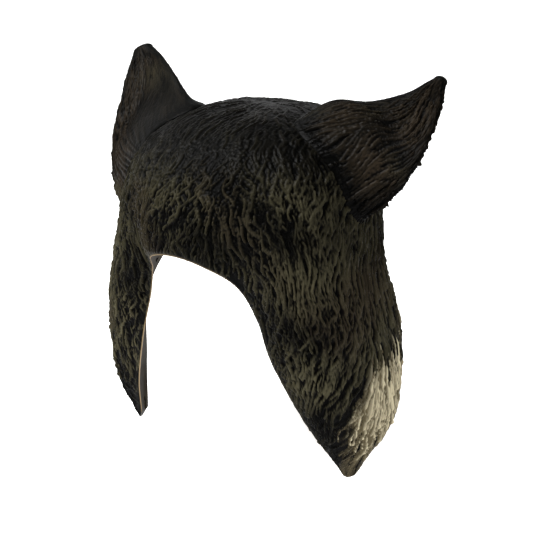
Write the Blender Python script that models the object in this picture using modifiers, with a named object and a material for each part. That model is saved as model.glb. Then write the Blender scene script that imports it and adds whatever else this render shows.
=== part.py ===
"""Open-faced animal hood in cast latex: a furred cowl with two cheek flaps, two ears and a strap.

Lengths are in millimetres until a mesh is written, and the mesh is in metres. +Z is up, -Y is the
wearer's front, and +X is the wearer's left. The origin is where the top of the head meets the
inside of the crown.

The skin is one surface, skin_point(q, v). q runs from 0 on the centre line of the crown to 1 at the
left cheek tip and to -1 at the right one. v runs from 0 at the face opening to 1 at the rear edge.
"""
import math

import bmesh
import bpy
import numpy as np
from mathutils import Matrix, Vector

MM = 0.001

# ---- Overall sizes of the hood
HALF_WIDTH = 100.0        # from the centre line to the outside of a cheek
HALF_DEPTH = 86.0         # half the way from the brow's edge to the rear edge
DROP = 211.0              # from the head seat to the cheek tips
TABLE_SIZE = (100.0, 86.0, 211.0)     # the same three sizes, as the station tables are drawn

# ---- Walls and clearances
WALL = 2.6                # latex skin
EAR_WALL = 2.2
FIT_GAP = 0.4             # between neighbours that touch
BOND_GAP = 1.0            # glue line between a tab and the curved skin

# ---- Cheek flaps
FOLD_SHARE = 0.60         # where the flap folds, on the way from crown to tip
FOLD_INWARD_DEG = 7.0     # how far the gap lets the flap fold inwards
FOLD_STEP = 0.5           # smallest gap across the fold
HOOD_GRID = (41, 19)      # rows from side to side and columns from opening to rear edge
CHEEK_GRID = (15, 15)

# ---- Ears
EAR_REACH = {"left": 74.0, "right": 79.0}     # root centre to tip
EAR_ROOT_DEPTH = 0.085    # half the root's width, in v
COLLAR_HEIGHT = 2.6       # soft root collar between the skin and the ear
COLLAR_WIDTH = 0.24       # of the root ellipse's radius
CORE_GAP = 1.0            # foam core to ear wall
CORE_SHORTFALL = 3        # levels of the loft that the core stops below the tip
CORE_BASE_RINGS = (0.3, 0.6)          # of the root ellipse's radius
EAR_SEGMENTS = 28         # points round a loop
EAR_LEVELS = 15
ROOT_INSET_REACH = 0.45   # of the root's half length: how far an inset of one wall shrinks the root
RIM_INSET = 1.1           # of an inset, taken off each rim
RIM_INSET_MOST = 0.42     # of the ear's width, the most that a rim gives up
TIP_RISE = 0.25           # of a level, from the last loop to the shell's pole
TIP_LINING_RISE = 0.1

# ---- Strap
STRAP_SHARE = 0.50        # where the strap leaves the rear edge, on the way from crown to tip
STRAP_HEIGHT = 18.0
STRAP_THICK = 1.6
STRAP_INSET = 4.0         # how far in front of the rear edge's furthest point the strap passes
STRAP_STRAIGHT = 0.25     # of the half width: half the straight run at the back of the head
STRAP_BEND_PULL = 0.36    # of a bend's chord
BEND_STEPS = 14
TURN_STEPS = 9
BAND_SETBACK = 1.0        # from the start of the right tab's flat end to the end of the band
BAND_TAIL = 22.0          # how far the returning layer passes the middle of the back
TAB_HEIGHT = 22.0
TAB_THICK = 1.8
TAB_FLAT = 15.0           # flat end of a tab
TAB_RETURN = 11.0         # layer that comes back from the ring
TAB_HEADING = (0.42, 0.908)   # the flat end's direction: in towards the middle, and back
TAB_STEP_IN = 10.5         # from the rear edge to the flat end, towards the middle
TAB_STEP_BACK = 7.0       # from the rear edge to the flat end, rearwards
TAB_BOND_START = 0.86     # the bonded stretch, in v
TAB_BOND_END = 0.97
TAB_ROWS = 5              # from its lower to its upper edge
TAB_BRIDGE = 6            # points of the bridge from the bond to the flat end
TAB_STEP_OFF = 2.8        # how far the bridge runs on along the skin, in steps of the bonded stretch
TAB_LEAD = 4.0            # how far the bridge runs straight before the flat end
RING_WIRE = 1.5           # radius of the ring's wire
RING_LENGTH = 11.0        # between the ring's two upright bars
RING_CORNER = 3.0
RING_SLACK = 1.0          # above and below the tab
RIVET_RADIUS = 1.6
RIVET_HEAD = 3.2
RIVET_DOME = 1.3          # height of a rivet's head
RIVET_SPACING = 9.0
RIVET_PLACE = 0.6         # of the layer it holds
RIVET_STEPS = 14
DRILL_OVERRUN = 3.0       # past each face
SLIDER_LENGTH = 24.0
SLIDER_WALL = 2.2
SLIDER_GAP = 0.6
SLIDER_BAR = 3.6
SLIDER_PLACE = 3.0        # middle of the slider, along the straight run
SLIDER_EDGE = 0.5         # rounded edges

SHARP_DEG = 40.0          # edges sharper than this show as edges

# Each station of the skin: the face-opening edge, a brow control, a back control and the rear edge,
# as (x, y, z). They run from the crown's centre line down one side to the cheek tip.
STATIONS = {
    "crown": [(0, -84, -77), (0, -96, 16), (0, 62, 30), (0, 88, -36)],
    "crown_side": [(20, -80, -81), (36, -94, 14), (42, 57, 27), (34, 80, -41)],
    "ear": [(33, -65, -94), (72, -94, -10), (87, 42, 2), (57, 49, -53)],
    "temple": [(42, -57, -114), (94, -90, -66), (97, 20, -57), (69, 32, -87)],
    "cheekbone": [(52, -54, -142), (104, -74, -122), (105, 4, -124), (88, 31, -128)],
    "jaw": [(68, -41, -180), (102, -62, -178), (106, -4, -180), (95, 18, -182)],
    "tip": [(83, -24, -211), (87, -30, -217), (92, -16, -216), (88, -11, -211)],
}

# The right side hangs closer to the face and is cut back further behind, so it has its own stations.
RIGHT_STATIONS = {
    "crown_side": [(-20, -80, -81), (-36, -94, 14), (-42, 57, 27), (-34, 80, -41)],
    "ear": [(-33, -65, -94), (-70, -94, -10), (-86, 42, 2), (-58, 50, -52)],
    "temple": [(-42, -57, -114), (-84, -90, -66), (-96, 16, -58), (-79, 26, -82)],
    "cheekbone": [(-52, -54, -142), (-92, -74, -122), (-104, -14, -120), (-97, 2, -126)],
    "jaw": [(-68, -42, -180), (-90, -58, -178), (-105, -20, -178), (-99, -2, -180)],
    "tip": [(-83, -24, -211), (-85, -30, -217), (-91, -18, -216), (-88, -13, -211)],
}

# Each ear: the root's inner and outer ends as (q, v) on the skin, then stations from root to tip.
# A station has the inner rim and the outer rim as (out, back, up) in reaches from the root's
# centre, then how far its middle arches over the skin, how deep the front is dished and half the
# thickness, in millimetres.
EARS = {
    "left": (
        ((0.185, 0.525), (0.462, 0.620)),
        [((-0.23, 0.14, 0.38), (0.47, 0.06, -0.28), 11.0, 5.0, 8.5),
         ((0.03, 0.28, 0.38), (0.60, 0.12, -0.05), 4.0, 6.0, 6.5),
         ((0.28, 0.42, 0.45), (0.62, 0.37, 0.27), 0.0, 4.0, 5.2),
         ((0.50, 0.50, 0.58), (0.61, 0.50, 0.54), 0.0, 1.0, 4.2)]),
    "right": (
        ((0.185, 0.520), (0.530, 0.565)),
        [((-0.24, 0.13, 0.40), (0.44, -0.02, -0.38), 13.0, 6.0, 8.5),
         ((0.01, 0.25, 0.54), (0.52, 0.04, -0.05), 5.0, 8.0, 6.5),
         ((0.26, 0.38, 0.65), (0.59, 0.26, 0.38), 0.0, 5.0, 5.2),
         ((0.45, 0.46, 0.72), (0.61, 0.42, 0.64), 0.0, 1.0, 4.2)]),
}

SIDES = {"left": 1, "right": -1}

parts = bpy.data.collections.new("latex_animal_hood")
cutters = bpy.data.collections.new("cutters")


# ---------------------------------------------------------------- scene and materials
def clear_scene():
    """Remove every object and link the two collections."""
    for thing in list(bpy.data.objects):
        bpy.data.objects.remove(thing, do_unlink=True)
    for group in (parts, cutters):
        bpy.context.scene.collection.children.link(group)


def finish(name, colour, roughness, metallic=0.0):
    """Return a Principled material."""
    material = bpy.data.materials.new(name)
    material.use_nodes = True
    shader = material.node_tree.nodes["Principled BSDF"]
    shader.inputs["Base Color"].default_value = (*colour, 1.0)
    shader.inputs["Roughness"].default_value = roughness
    shader.inputs["Metallic"].default_value = metallic
    return material


def mesh_object(name, points, faces, material, group=None):
    """Make an object from points in millimetres and its faces, with outward normals."""
    mesh = bpy.data.meshes.new(name)
    mesh.from_pydata((np.asarray(points, float) * MM).tolist(), [], faces)
    shape = bmesh.new()
    shape.from_mesh(mesh)
    bmesh.ops.recalc_face_normals(shape, faces=shape.faces)
    shape.to_mesh(mesh)
    shape.free()
    mesh.materials.append(material)
    mesh.shade_smooth()
    mesh.set_sharp_from_angle(angle=math.radians(SHARP_DEG))
    thing = bpy.data.objects.new(name, mesh)
    (group or parts).objects.link(thing)
    return thing


def hide_cutter(thing):
    """Mark an object as a cutter."""
    thing.hide_render = True
    thing.display_type = "WIRE"


def set_origin(thing, place):
    """Move an object's origin to a place in millimetres and leave its shape where it is."""
    offset = Vector(place) * MM
    thing.data.transform(Matrix.Translation(-offset))
    thing.location = offset


# ---------------------------------------------------------------- surface maths
def through(knots, t):
    """Catmull-Rom curve through knots, t from 0 to 1; the end knots are mirrored outwards."""
    knots = np.asarray(knots, float)
    count = len(knots) - 1
    padded = np.concatenate([[2 * knots[0] - knots[1]], knots, [2 * knots[-1] - knots[-2]]])
    place = np.clip(np.asarray(t, float) * count, 0, count - 1e-9)
    first = place.astype(int)
    f = (place - first).reshape(place.shape + (1,) * (knots.ndim - 1))
    a, b, c, d = (padded[first + k] for k in range(4))
    return 0.5 * (2 * b + (c - a) * f + (2 * a - 5 * b + 4 * c - d) * f**2
                  + (3 * b - a - 3 * c + d) * f**3)


def station_table():
    """Stations at the chosen size, from the right tip over the crown to the left tip."""
    scale = np.array([HALF_WIDTH, HALF_DEPTH, DROP]) / TABLE_SIZE
    left = np.array(list(STATIONS.values()), float)
    right = np.array(list(RIGHT_STATIONS.values()), float)
    return np.concatenate([right[::-1], left]) * scale


def skin_point(q, v):
    """Outer skin at share q of the way from crown to tip and v from opening to rear edge."""
    q, v = np.broadcast_arrays(np.asarray(q, float), np.asarray(v, float))
    section = through(station_table(), (q + 1) / 2)
    weights = np.stack([(1 - v)**3, 3 * v * (1 - v)**2, 3 * v * v * (1 - v), v**3], -1)
    return (section * weights[..., None]).sum(-2)


def skin_normal(q, v):
    """Outward unit normal of the skin."""
    step = 1e-3
    along = skin_point(np.clip(q + step, -1, 1), v) - skin_point(np.clip(q - step, -1, 1), v)
    across = skin_point(q, np.clip(v + step, 0, 1)) - skin_point(q, np.clip(v - step, 0, 1))
    normal = np.cross(along, across)
    return normal / np.linalg.norm(normal, axis=-1, keepdims=True)


def grid_faces(rows, columns, wrap=False):
    """Quads of a grid numbered row by row; wrap joins the last column to the first."""
    spans = columns if wrap else columns - 1
    return [(r * columns + c, r * columns + (c + 1) % columns,
             (r + 1) * columns + (c + 1) % columns, (r + 1) * columns + c)
            for r in range(rows - 1) for c in range(spans)]


def skin_panel(name, q_low, q_high, rows, columns, material):
    """Panel of the skin between two edges given as q for each v, thickened inwards."""
    v = np.linspace(0, 1, columns)
    share = np.linspace(0, 1, rows)[:, None]
    q = q_low(v) * (1 - share) + q_high(v) * share
    points = skin_point(q, v[None, :])
    panel = mesh_object(name, points.reshape(-1, 3), grid_faces(rows, columns), material)
    outward = skin_normal(q[rows // 2, columns // 2], v[columns // 2])
    middle = min(panel.data.polygons, key=lambda face: (
        face.center - Vector(points[rows // 2, columns // 2] * MM)).length)
    if middle.normal.dot(Vector(outward)) < 0:
        panel.data.flip_normals()
    wall = panel.modifiers.new("Wall", "SOLIDIFY")
    wall.thickness = WALL * MM
    wall.offset = -1
    wall.use_even_offset = True
    return panel


# ---------------------------------------------------------------- hood and cheek flaps
def fold_axis_point(side):
    """The outermost point of the fold line, which the flap turns about."""
    v = np.linspace(0, 1, 201)
    line = skin_point(side * FOLD_SHARE, v)
    return line[np.argmax(side * line[:, 0])]


def fold_share(side, v):
    """q of a flap's top edge: the gap grows away from the axis, so the flap can fold inwards."""
    axis = fold_axis_point(side)
    line = skin_point(side * FOLD_SHARE, v)
    step = 1e-3
    pace = np.linalg.norm(skin_point(side * (FOLD_SHARE + step), v) - line, axis=-1) / step
    reach = np.abs(axis[0] - line[:, 0])
    return side * (FOLD_SHARE + (FOLD_STEP + reach * math.tan(math.radians(FOLD_INWARD_DEG))) / pace)


def build_hood(latex):
    """The crown, the brow and the upper sides, as one skin."""
    return skin_panel("hood_skin", lambda v: -FOLD_SHARE + 0 * v, lambda v: FOLD_SHARE + 0 * v,
                      *HOOD_GRID, latex)


def build_cheek(side_name, latex):
    """One flap, from its fold to its tip, with its origin on the fold's axis."""
    side = SIDES[side_name]
    flap = skin_panel("cheek_" + side_name, lambda v: fold_share(side, v),
                      lambda v: side + 0 * v, *CHEEK_GRID, latex)
    set_origin(flap, fold_axis_point(side))
    return flap


# ---------------------------------------------------------------- ears
def root_ellipse(side_name, angle, scale, lift):
    """Points of an ellipse drawn on the skin round an ear's root, lifted off the skin."""
    (q_in, v_in), (q_out, v_out) = EARS[side_name][0]
    lengthwise = np.cos(angle) * scale
    crosswise = np.sin(angle) * scale * EAR_ROOT_DEPTH
    q = (q_in + q_out) / 2 - lengthwise * (q_out - q_in) / 2
    v = (v_in + v_out) / 2 - lengthwise * (v_out - v_in) / 2 - crosswise
    side = SIDES[side_name]
    return skin_point(side * q, v) + skin_normal(side * q, v) * lift


def root_centre(side_name):
    """Point of the skin at the middle of an ear's root."""
    return root_ellipse(side_name, np.array([0.0]), 0.0, 0.0)[0]


def root_away(side_name):
    """Unit vector square to the skin at the middle of an ear's root."""
    away = root_ellipse(side_name, np.array([0.0]), 0.0, 1.0)[0] - root_centre(side_name)
    return away / np.linalg.norm(away)


def ear_front(side_name):
    """Unit vector that an ear faces along: square to its inner rim, outer rim and tip."""
    side = SIDES[side_name]
    inner, outer = root_ellipse(side_name, np.array([0.0, math.pi]), 1.0, 0.0)
    tip = ear_rims(side_name)[-1][0]
    normal = np.cross(outer - inner, tip - inner) * side
    return normal / np.linalg.norm(normal)


def ear_rims(side_name):
    """Inner rim, outer rim, arch, dish and half thickness of each station, in the hood's frame."""
    side = SIDES[side_name]
    out = np.array([side, 1.0, 1.0]) * EAR_REACH[side_name]
    centre = root_centre(side_name)
    return [(centre + np.array(inner) * out, centre + np.array(outer) * out, arch, dish, half)
            for inner, outer, arch, dish, half in EARS[side_name][1]]


def ear_loops(side_name, inset, lift, count):
    """Closed loops from root to tip; inset is how far inside the ear's outer surface they run."""
    angle = np.linspace(0, 2 * math.pi, count, endpoint=False)
    front = ear_front(side_name)
    across = (1 - np.cos(angle)) / 2
    root_radius = np.linalg.norm(np.diff(root_ellipse(
        side_name, np.array([0.0, math.pi]), 1.0, 0.0), axis=0)) / 2
    loops = [root_ellipse(side_name, angle, 1 - inset / (ROOT_INSET_REACH * root_radius), lift)]
    away = root_away(side_name)
    for inner, outer, arch, dish, half in ear_rims(side_name):
        width = outer - inner
        given_up = min(RIM_INSET * inset / np.linalg.norm(width), RIM_INSET_MOST)
        inner_rim = inner + width * given_up
        outer_rim = outer - width * given_up
        hollow = (inner_rim + outer_rim) / 2 + away * 2 * arch - front * 2 * dish
        t = across[:, None]
        middle = (1 - t)**2 * inner_rim + 2 * t * (1 - t) * hollow + t**2 * outer_rim
        loops.append(middle + front * np.sin(angle)[:, None] * (half - inset))
    return np.array(loops)


def loft(loops, levels):
    """Smooth loft through closed loops; returns its points level by level."""
    return through(loops, np.linspace(0, 1, levels))


def build_ear(side_name, latex, foam, collar):
    """Ear shell, its foam core and the soft collar at its root."""
    segments, levels = EAR_SEGMENTS, EAR_LEVELS
    lift = FIT_GAP + COLLAR_HEIGHT + FIT_GAP
    outer = loft(ear_loops(side_name, 0.0, lift, segments), levels)
    inner = loft(ear_loops(side_name, EAR_WALL, lift, segments), levels)[:-1]
    core = loft(ear_loops(side_name, EAR_WALL + CORE_GAP, lift, segments), levels)[:-CORE_SHORTFALL]

    shell_faces = grid_faces(levels, segments, wrap=True)
    start = levels * segments
    shell_faces += [tuple(start + k for k in face)
                    for face in grid_faces(levels - 1, segments, wrap=True)]
    shell_faces += [(c, (c + 1) % segments, start + (c + 1) % segments, start + c)
                    for c in range(segments)]
    points = np.concatenate([outer.reshape(-1, 3), inner.reshape(-1, 3)])
    poles = np.array([outer[-1].mean(0) + (outer[-1] - outer[-2]).mean(0) * TIP_RISE,
                      inner[-1].mean(0) + (inner[-1] - inner[-2]).mean(0) * TIP_LINING_RISE])
    for pole, last in ((len(points), (levels - 1) * segments),
                       (len(points) + 1, start + (levels - 2) * segments)):
        shell_faces += [(last + c, last + (c + 1) % segments, pole) for c in range(segments)]
    shell = mesh_object("ear_shell_" + side_name, np.concatenate([points, poles]), shell_faces, latex)

    angle = np.linspace(0, 2 * math.pi, segments, endpoint=False)
    base = [root_ellipse(side_name, angle, share, lift) for share in CORE_BASE_RINGS]
    core = np.concatenate([base, core])
    middle = root_ellipse(side_name, np.array([0.0]), 0.0, lift)
    last = (len(core) - 1) * segments
    core_faces = grid_faces(len(core), segments, wrap=True)
    core_faces += [(c, (c + 1) % segments, last + segments) for c in range(segments)]
    core_faces += [(last + c, last + (c + 1) % segments, last + segments + 1) for c in range(segments)]
    foam_core = mesh_object("ear_core_" + side_name, np.concatenate(
        [core.reshape(-1, 3), middle, [core[-1].mean(0)]]), core_faces, foam)

    low, high = FIT_GAP, FIT_GAP + COLLAR_HEIGHT
    ring = np.array([root_ellipse(side_name, angle, 1.0, low), root_ellipse(side_name, angle, 1.0, high),
                     root_ellipse(side_name, angle, 1 - COLLAR_WIDTH, high),
                     root_ellipse(side_name, angle, 1 - COLLAR_WIDTH, low)])
    ring_faces = grid_faces(4, segments, wrap=True)
    ring_faces += [(3 * segments + c, 3 * segments + (c + 1) % segments, (c + 1) % segments, c)
                   for c in range(segments)]
    mesh_object("ear_root_" + side_name, ring.reshape(-1, 3), ring_faces, collar)

    for thing in (shell, foam_core):
        set_origin(thing, root_centre(side_name))


# ---------------------------------------------------------------- strap
def strap_level():
    """Height of the strap's middle."""
    return float(skin_point(STRAP_SHARE, 1.0)[2])


def strap_back():
    """How far behind the origin the strap passes."""
    return float(skin_point(0.0, 1.0)[1]) - STRAP_INSET


def strap_end(side):
    """Plan point where a tab's flat end starts, its direction rearwards and the way out of the head."""
    edge = skin_point(side * STRAP_SHARE, 1.0)
    heading = np.array([-side * TAB_HEADING[0], TAB_HEADING[1]])
    out = side * np.array([heading[1], -heading[0]])
    return edge[:2] + np.array([-side * TAB_STEP_IN, TAB_STEP_BACK]), heading, out


def bezier(start, start_pull, end_pull, end, steps):
    """Cubic Bezier curve with its steps evenly spaced in its parameter."""
    t = np.linspace(0, 1, steps)[:, None]
    return (1 - t)**3 * start + 3 * t * (1 - t)**2 * start_pull + 3 * t**2 * (1 - t) * end_pull + t**3 * end


def strap_bend(side, end, heading, lap):
    """Plan curve from the straight run at the back of the head to one end of the strap."""
    knee = np.array([side * STRAP_STRAIGHT * HALF_WIDTH, strap_back() + lap])
    reach = STRAP_BEND_PULL * np.linalg.norm(end - knee)
    return bezier(knee, knee + np.array([side * reach, 0.0]), end + heading * reach, end, BEND_STEPS)


def ribbon(name, line, level, height, thickness, material):
    """Flat band that stands on edge and follows a plan line."""
    along = np.gradient(line, axis=0)
    along /= np.linalg.norm(along, axis=1, keepdims=True)
    shift = np.stack([-along[:, 1], along[:, 0]], 1) * thickness / 2
    corners = []
    for offset, rise in ((shift, -0.5), (shift, 0.5), (-shift, 0.5), (-shift, -0.5)):
        corners.append(np.column_stack([line + offset, np.full(len(line), level + rise * height)]))
    points = np.stack(corners, 1)
    faces = grid_faces(len(line), 4, wrap=True)
    last = 4 * (len(line) - 1)
    faces += [(0, 1, 2, 3), (last, last + 1, last + 2, last + 3)]
    return mesh_object(name, points.reshape(-1, 3), faces, material)


def ring_bars():
    """Plan centres of the ring's two upright bars: the tab's and the strap's."""
    end, heading, _ = strap_end(1)
    first = end + heading * TAB_FLAT
    return first, first + heading * RING_LENGTH


def turn(centre, out, sweep, radius):
    """Plan points of a half turn that starts on a bar's inner side."""
    angle = math.atan2(-out[1], -out[0]) + np.linspace(0, sweep, TURN_STEPS)
    return centre + radius * np.stack([np.cos(angle), np.sin(angle)], 1)


def right_band_end():
    """Plan point where the band ends on the outside of the right tab."""
    end, heading, out = strap_end(-1)
    return end + heading * BAND_SETBACK + out * (TAB_THICK / 2 + FIT_GAP + STRAP_THICK / 2)


def build_band(webbing):
    """Elastic band: from the right tab round the head, through the ring and back past the slider."""
    _, bar = ring_bars()
    _, heading, out = strap_end(1)
    _, right_heading, _ = strap_end(-1)
    loop = turn(bar, out, math.pi, RING_WIRE + FIT_GAP + STRAP_THICK / 2)
    lap = STRAP_THICK + FIT_GAP
    anchor = right_band_end()
    flat = anchor + right_heading * TAB_FLAT
    line = np.concatenate([
        [anchor], strap_bend(-1, flat, right_heading, 0.0)[::-1], strap_bend(1, loop[0], heading, 0.0),
        loop[1:-1], strap_bend(1, loop[-1], heading, lap)[::-1],
        [[-BAND_TAIL, strap_back() + lap]]])
    return ribbon("strap_band", line, strap_level(), STRAP_HEIGHT, STRAP_THICK, webbing)


def build_tab(side_name, latex):
    """Tab bonded inside the rear edge; the left one wraps the ring and the right one ends flat."""
    side = SIDES[side_name]
    end, heading, out = strap_end(side)
    level = strap_level()
    shares = np.linspace(STRAP_SHARE - 0.2, STRAP_SHARE + 0.3, 501)
    edge_height = skin_point(side * shares, 1.0)[:, 2]
    lining = WALL + BOND_GAP + TAB_THICK / 2
    if side > 0:
        wrap = turn(ring_bars()[0], out, -math.pi, RING_WIRE + FIT_GAP + TAB_THICK / 2)
        plan = np.concatenate([[wrap[0] - heading * TAB_FLAT, wrap[0] - heading * TAB_FLAT / 2],
                               wrap, [wrap[-1] - heading * TAB_RETURN]])
    else:
        plan = np.array([end, end + heading * TAB_FLAT / 2, end + heading * TAB_FLAT])
    sheet = []
    for height in np.linspace(-TAB_HEIGHT / 2, TAB_HEIGHT / 2, TAB_ROWS):
        q = side * np.interp(-(level + height), -edge_height, shares)
        v = np.linspace(TAB_BOND_START, TAB_BOND_END, 5)
        bonded = skin_point(q, v) - skin_normal(np.full(5, q), v) * lining
        run = np.column_stack([plan, np.full(len(plan), level + height)])
        step_off = bonded[-1] + (bonded[-1] - bonded[-2]) * TAB_STEP_OFF
        step_on = run[0] - np.append(heading, 0.0) * TAB_LEAD
        bridge = bezier(bonded[-1], step_off, step_on, run[0], TAB_BRIDGE)[1:-1]
        sheet.append(np.concatenate([bonded, bridge, run]))
    sheet = np.array(sheet)
    tab = mesh_object("strap_tab_" + side_name, sheet.reshape(-1, 3),
                      grid_faces(TAB_ROWS, sheet.shape[1]), latex)
    thick = tab.modifiers.new("Thickness", "SOLIDIFY")
    thick.thickness = TAB_THICK * MM
    thick.offset = 0
    thick.use_even_offset = True
    return tab


def rivet_line(side_name):
    """Plan middle of a rivet, the way out of the head and the thickness that it holds."""
    side = SIDES[side_name]
    end, heading, out = strap_end(side)
    if side > 0:
        middle = ring_bars()[0] - heading * TAB_RETURN * RIVET_PLACE
        return middle, out, 2 * (RING_WIRE + FIT_GAP + TAB_THICK)
    middle = end + heading * TAB_FLAT * RIVET_PLACE + out * (FIT_GAP + STRAP_THICK) / 2
    return middle, out, TAB_THICK + FIT_GAP + STRAP_THICK


def upright_frame(middle, out, level):
    """Matrix with local Z out of the head and local X straight up, in metres."""
    z_axis = Vector((out[0], out[1], 0.0))
    x_axis = Vector((0.0, 0.0, 1.0))
    turned = Matrix((x_axis, z_axis.cross(x_axis), z_axis)).transposed().to_4x4()
    return Matrix.Translation(Vector((middle[0], middle[1], level)) * MM) @ turned


def build_rivets(side_name, steel, pieces):
    """Two turned rivets, one above the other, and their holes through the pieces they hold."""
    middle, out, grip = rivet_line(side_name)
    half = grip / 2 + FIT_GAP
    profile = [(0, half + RIVET_DOME), (RIVET_HEAD * 0.7, half + RIVET_DOME * 0.8), (RIVET_HEAD, half),
               (RIVET_RADIUS, half), (RIVET_RADIUS, -half), (RIVET_HEAD, -half),
               (RIVET_HEAD * 0.7, -half - RIVET_DOME * 0.8), (0, -half - RIVET_DOME)]
    for place, row in (("low", -0.5), ("high", 0.5)):
        frame = upright_frame(middle, out, strap_level() + row * RIVET_SPACING)
        mesh = bpy.data.meshes.new("tab_rivet")
        mesh.from_pydata([(r * MM, 0, z * MM) for r, z in profile],
                         [(k, k + 1) for k in range(len(profile) - 1)], [])
        mesh.materials.append(steel)
        rivet = bpy.data.objects.new(f"tab_rivet_{side_name}_{place}", mesh)
        parts.objects.link(rivet)
        rivet.matrix_world = frame
        spin = rivet.modifiers.new("Turned", "SCREW")
        spin.steps = spin.render_steps = RIVET_STEPS
        spin.use_merge_vertices = True
        spin.merge_threshold = 0.00001

        bpy.ops.mesh.primitive_cylinder_add(vertices=16, radius=(RIVET_RADIUS + FIT_GAP) * MM,
                                            depth=(grip + 2 * DRILL_OVERRUN) * MM)
        drill = bpy.context.object
        drill.name = f"drill_{side_name}_{place}"
        drill.matrix_world = frame
        move_to(drill, cutters)
        hide_cutter(drill)
        for piece in pieces:
            cut(piece, drill)


def move_to(thing, group):
    """Move an object into one collection."""
    for owner in list(thing.users_collection):
        owner.objects.unlink(thing)
    group.objects.link(thing)


def cut(piece, cutter):
    """Cut one object from another."""
    hole = piece.modifiers.new(cutter.name, "BOOLEAN")
    hole.operation = "DIFFERENCE"
    hole.solver = "EXACT"
    hole.object = cutter


def build_ring(steel):
    """Closed wire ring with round corners, standing between the tab and the strap."""
    first, second = ring_bars()
    middle = (first + second) / 2
    _, _, out = strap_end(1)
    tall = TAB_HEIGHT / 2 + FIT_GAP + RING_WIRE + RING_SLACK
    wide = RING_LENGTH / 2
    curve = bpy.data.curves.new("strap_ring", "CURVE")
    curve.dimensions = "3D"
    curve.bevel_depth = RING_WIRE * MM
    curve.bevel_resolution = 3
    spline = curve.splines.new("POLY")
    outline = []
    for x_sign, y_sign, start in ((1, 1, 0), (-1, 1, 90), (-1, -1, 180), (1, -1, 270)):
        for step in range(5):
            angle = math.radians(start + step * 22.5)
            outline.append((x_sign * (tall - RING_CORNER) + RING_CORNER * math.cos(angle),
                            y_sign * (wide - RING_CORNER) + RING_CORNER * math.sin(angle)))
    spline.points.add(len(outline) - 1)
    for point, (up, along) in zip(spline.points, outline):
        point.co = (up * MM, along * MM, 0.0, 1.0)
    spline.use_cyclic_u = True
    curve.materials.append(steel)
    ring = bpy.data.objects.new("strap_ring", curve)
    parts.objects.link(ring)
    ring.matrix_world = upright_frame(middle, out, strap_level())
    return ring


def box(name, size, middle, group):
    """Box of a size in millimetres, with its scale applied."""
    bpy.ops.mesh.primitive_cube_add(size=1.0)
    thing = bpy.context.object
    thing.name = name
    thing.data.transform(Matrix.Diagonal((*[s * MM for s in size], 1.0)))
    thing.location = Vector(middle) * MM
    move_to(thing, group)
    return thing


def build_slider(plastic):
    """Slider on the strap's straight run: a flat frame with three bars outside and three inside."""
    stack = 2 * STRAP_THICK + FIT_GAP
    middle = (SLIDER_PLACE, strap_back() + (STRAP_THICK + FIT_GAP) / 2, strap_level())
    channel = (SLIDER_LENGTH * 2, stack + 2 * SLIDER_GAP, STRAP_HEIGHT + 2 * SLIDER_GAP)
    outside = (SLIDER_LENGTH, channel[1] + 2 * SLIDER_WALL, channel[2] + 2 * SLIDER_WALL)
    slider = box("strap_slider", outside, middle, parts)
    slider.data.materials.append(plastic)
    cuts = [box("slider_passage", channel, middle, cutters)]
    window = (SLIDER_LENGTH - 3 * SLIDER_BAR) / 2
    for name, offset in (("low", -0.5), ("high", 0.5)):
        place = (middle[0] + offset * (window + SLIDER_BAR), middle[1], middle[2])
        cuts.append(box("slider_window_" + name, (window, outside[1] * 2, channel[2]), place, cutters))
    for cutter in cuts:
        hide_cutter(cutter)
        cut(slider, cutter)
    edge = slider.modifiers.new("Edges", "BEVEL")
    edge.width = SLIDER_EDGE * MM
    edge.segments = 2
    edge.limit_method = "ANGLE"
    return slider


def main():
    """Build every piece."""
    clear_scene()
    black_latex = finish("black_latex", (0.020, 0.019, 0.014), 0.45)
    flap_latex = finish("flap_latex", (0.035, 0.032, 0.022), 0.45)
    ear_latex = finish("ear_latex", (0.022, 0.018, 0.014), 0.45)
    collar_latex = finish("collar_latex", (0.016, 0.015, 0.012), 0.5)
    foam = finish("backing_foam", (0.55, 0.48, 0.34), 0.9)
    tab_latex = finish("bare_latex", (0.66, 0.52, 0.33), 0.5)
    webbing = finish("elastic_webbing", (0.015, 0.015, 0.016), 0.85)
    steel = finish("nickel_steel", (0.62, 0.61, 0.58), 0.3, 1.0)
    plastic = finish("black_plastic", (0.02, 0.02, 0.02), 0.4)

    build_hood(black_latex)
    for side_name in SIDES:
        build_cheek(side_name, flap_latex)
        build_ear(side_name, ear_latex, foam, collar_latex)
    band = build_band(webbing)
    tabs = {side_name: build_tab(side_name, tab_latex) for side_name in SIDES}
    build_rivets("left", steel, [tabs["left"]])
    build_rivets("right", steel, [tabs["right"], band])
    build_ring(steel)
    build_slider(plastic)


main()
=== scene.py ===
"""Looks of an open-faced animal hood in cast latex: fur relief, paint, ears, flaps, strap and hardware.

The hood's skin is one surface, given by a station table and cut into pieces. Fur is real relief:
strands are traced over the surface along a flow field and raised as overlapping ridges. Lengths in
the tables are millimetres, and every mesh is in metres in the frame's own axes: -Y is the wearer's
front, +X the wearer's left, and the origin is the inside of the crown.
"""
from __future__ import annotations

import logging
import math
from dataclasses import dataclass, field
from enum import Enum
from typing import Any, Optional, Sequence, Union

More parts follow.
